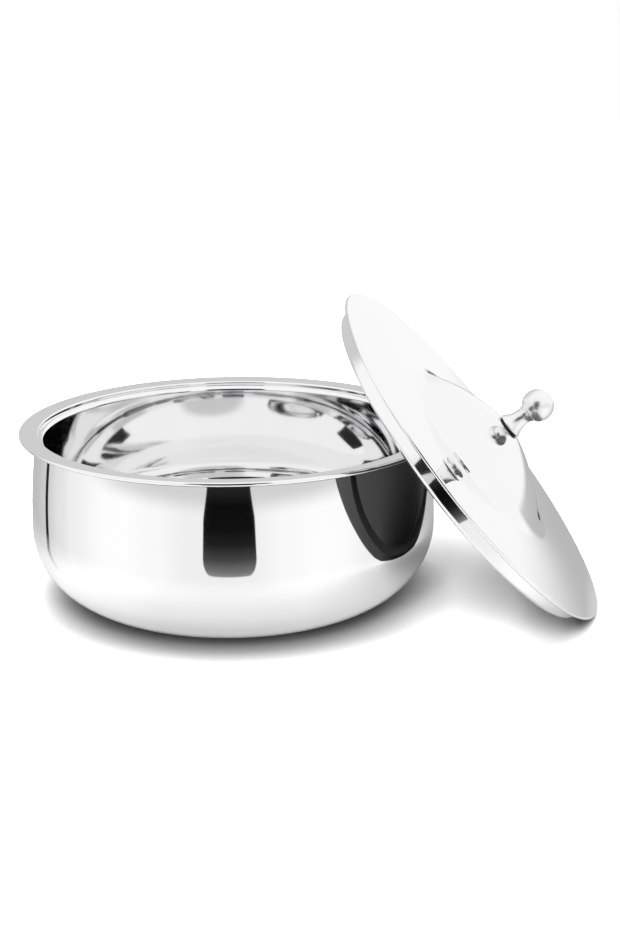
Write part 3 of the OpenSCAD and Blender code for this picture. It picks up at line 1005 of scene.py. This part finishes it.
def floor_for_camera(nodes, links):
    """White, with a painted contact shade in its colour beside what stands on it."""
    # Painted contact shade: an occlusion test darkens the floor's colour near whatever stands on it.
    near = nodes.new("ShaderNodeAmbientOcclusion")
    near.inputs["Distance"].default_value = PAINTED_SHADE_REACH * MM
    near.samples = PAINTED_SHADE_SAMPLES
    painted_shade_factor = spread(nodes, links, near.outputs["AO"], PAINTED_CONTACT_SHADE, 1, PAINTED_SHADE_START, 1)
    white = nodes.new("ShaderNodeVectorMath")
    white.operation = "SCALE"
    white.inputs[0].default_value = (FLOOR_WHITE, FLOOR_WHITE, FLOOR_WHITE)
    links.new(painted_shade_factor, white.inputs["Scale"])
    shown = nodes.new("ShaderNodeBsdfDiffuse")
    links.new(white.outputs["Vector"], shown.inputs["Color"])
    return shown.outputs["BSDF"]


# %% The floor as mirrors see it
TABLE_NEAR = 0.13
TABLE_RADIUS = 0.25
MIRRORED_GAIN = 1.35
PAINTED_SHADE_AFTER_TWO_MIRRORS = 0.12


def floor_for_mirrors(nodes, links, ray):
    """The table near the pot graded with painted shade, clear further away, and painted dark after two
    mirrors.
    """
    place = nodes.new("ShaderNodeTexCoord").outputs["Object"]
    gain = nodes.new("ShaderNodeVectorMath")
    gain.operation = "SCALE"
    gain.inputs["Scale"].default_value = MIRRORED_GAIN
    # Painted shade: the table's colour, as mirrors see it, is darker towards its far side.
    links.new(table_light(nodes, links, place), gain.inputs[0])
    table = nodes.new("ShaderNodeBsdfDiffuse")
    links.new(gain.outputs["Vector"], table.inputs["Color"])
    distance = nodes.new("ShaderNodeVectorMath")
    distance.operation = "LENGTH"
    links.new(place, distance.inputs[0])
    beyond = spread(nodes, links, distance.outputs["Value"], 0, 1, TABLE_NEAR, TABLE_RADIUS)
    clear = nodes.new("ShaderNodeBsdfTransparent")
    matt_before = more_than(nodes, links, ray.outputs["Diffuse Depth"], ONCE)
    two_mirrors = more_than(nodes, links, ray.outputs["Glossy Depth"], TWICE)
    reflected = mix_of(nodes, links, matt_before, table.outputs["BSDF"], None)
    reflected = mix_of(nodes, links, beyond, reflected, clear.outputs["BSDF"])
    # Painted shade: after two mirrors the floor is a dark grey, for the shade between the lid and the
    # pot.
    return mix_of(nodes, links, two_mirrors, reflected, plain_matt(nodes, PAINTED_SHADE_AFTER_TWO_MIRRORS))


# %% The floor
FLOOR_RADIUS = 3
FLOOR_SIDES = 64
FLOOR_GREY = 0.8


def lay_floor():
    """Lay the round floor under the pot."""
    mesh = bpy.data.meshes.new("floor")
    plane = bmesh.new()
    bmesh.ops.create_circle(plane, cap_ends=True, segments=FLOOR_SIDES, radius=FLOOR_RADIUS)
    plane.to_mesh(mesh)
    plane.free()
    floor = bpy.data.objects.new("floor", mesh)
    bpy.context.scene.collection.objects.link(floor)
    finish, nodes, links, shader = new_finish("pale_floor")
    nodes.remove(shader)
    ray = nodes.new("ShaderNodeLightPath")
    reflected = floor_for_mirrors(nodes, links, ray)
    unseen = mix_of(nodes, links, ray.outputs["Is Glossy Ray"], plain_matt(nodes, FLOOR_GREY), reflected)
    seen = floor_for_camera(nodes, links)
    every = mix_of(nodes, links, ray.outputs["Is Camera Ray"], unseen, seen)
    links.new(every, nodes["Material Output"].inputs["Surface"])
    mesh.materials.append(finish)
    print("the floor reaches", FLOOR_RADIUS, "m")


lay_floor()

# %% [markdown]
# The cards stand upright in the tent. The gap for the camera has rounded lower corners, is narrow where
# the pot's side shows it and wide high up, and gets lighter towards its foot. The seam is a narrow
# card behind the pot on the left. It gives the fine dark line beside the pot's outline.

# %% A helper for dark cards
def dark_card(name, outline, middle, turn, levels):
    """An upright card that only reflections see. Levels say how bright it is at each height."""
    mesh = bpy.data.meshes.new(name)
    card = bmesh.new()
    card.faces.new([card.verts.new((across * MM, 0, up * MM)) for across, up in outline])
    card.to_mesh(mesh)
    card.free()
    piece = bpy.data.objects.new(name, mesh)
    bpy.context.scene.collection.objects.link(piece)
    turned_card = Matrix.Rotation(math.radians(turn), 4, "Z")
    piece.matrix_world = Matrix.Translation(Vector(middle) * MM) @ turned_card
    piece.visible_camera = False
    piece.visible_diffuse = False
    piece.visible_shadow = False
    finish, nodes, links, shader = new_finish(name + "_black")
    nodes.remove(shader)
    apart = nodes.new("ShaderNodeSeparateXYZ")
    links.new(nodes.new("ShaderNodeTexCoord").outputs["Object"], apart.inputs["Vector"])
    levels_in_metres = [(up * MM, level) for up, level in levels]
    grey = grey_levels(nodes, links, apart.outputs["Z"], levels_in_metres, "LINEAR")
    dark = nodes.new("ShaderNodeEmission")
    links.new(grey, dark.inputs["Color"])
    links.new(dark.outputs["Emission"], nodes["Material Output"].inputs["Surface"])
    mesh.materials.append(finish)
    print(name, "stands at", middle)


# %% The gap for the camera
GAP_PLACE = (0, -560, 0)
gap_low = -98
gap_top = 560
gap_side = 130
gap_corner = 38
corner_middle = (gap_side - gap_corner, gap_low + gap_corner)
right_side = arc(corner_middle, gap_corner, -RIGHT_ANGLE, 0, TIGHT_STEP)
gap_waist = [(124, 30), (106, 90), (98, 130)]
gap_shoulder = [(210, 170), (210, gap_top)]
right_side += gap_waist + gap_shoulder
left_side = [(-across, up) for across, up in right_side[::-1]]
gap_levels = (
    (gap_low, 0.26),
    (-85, 0.17),
    (-60, 0.06),
    (-27, 0.015),
    (7, 0.006),
    (60, 0.004),
    (100, 0.02),
    (gap_top, 0.02),
)
dark_card("camera_gap", right_side + left_side, GAP_PLACE, 0, gap_levels)

# %% The seam of the tent
SEAM_PLACE = (-481, 238, 0)
SEAM_TURN = 55
SEAM_GREY = 0.02
seam_side = 17
seam_low = -220
seam_top = 60
seam_outline = (
    (-seam_side, seam_low),
    (seam_side, seam_low),
    (seam_side, seam_top),
    (-seam_side, seam_top),
)
seam_levels = ((seam_low, SEAM_GREY), (seam_top, SEAM_GREY))
dark_card("tent_seam", seam_outline, SEAM_PLACE, SEAM_TURN, seam_levels)

# %% [markdown]
# The picture's colours come out as written: the view transform is Standard and nothing else is
# changed.

# %% Colour handling and the end
bpy.context.scene.view_settings.view_transform = "Standard"
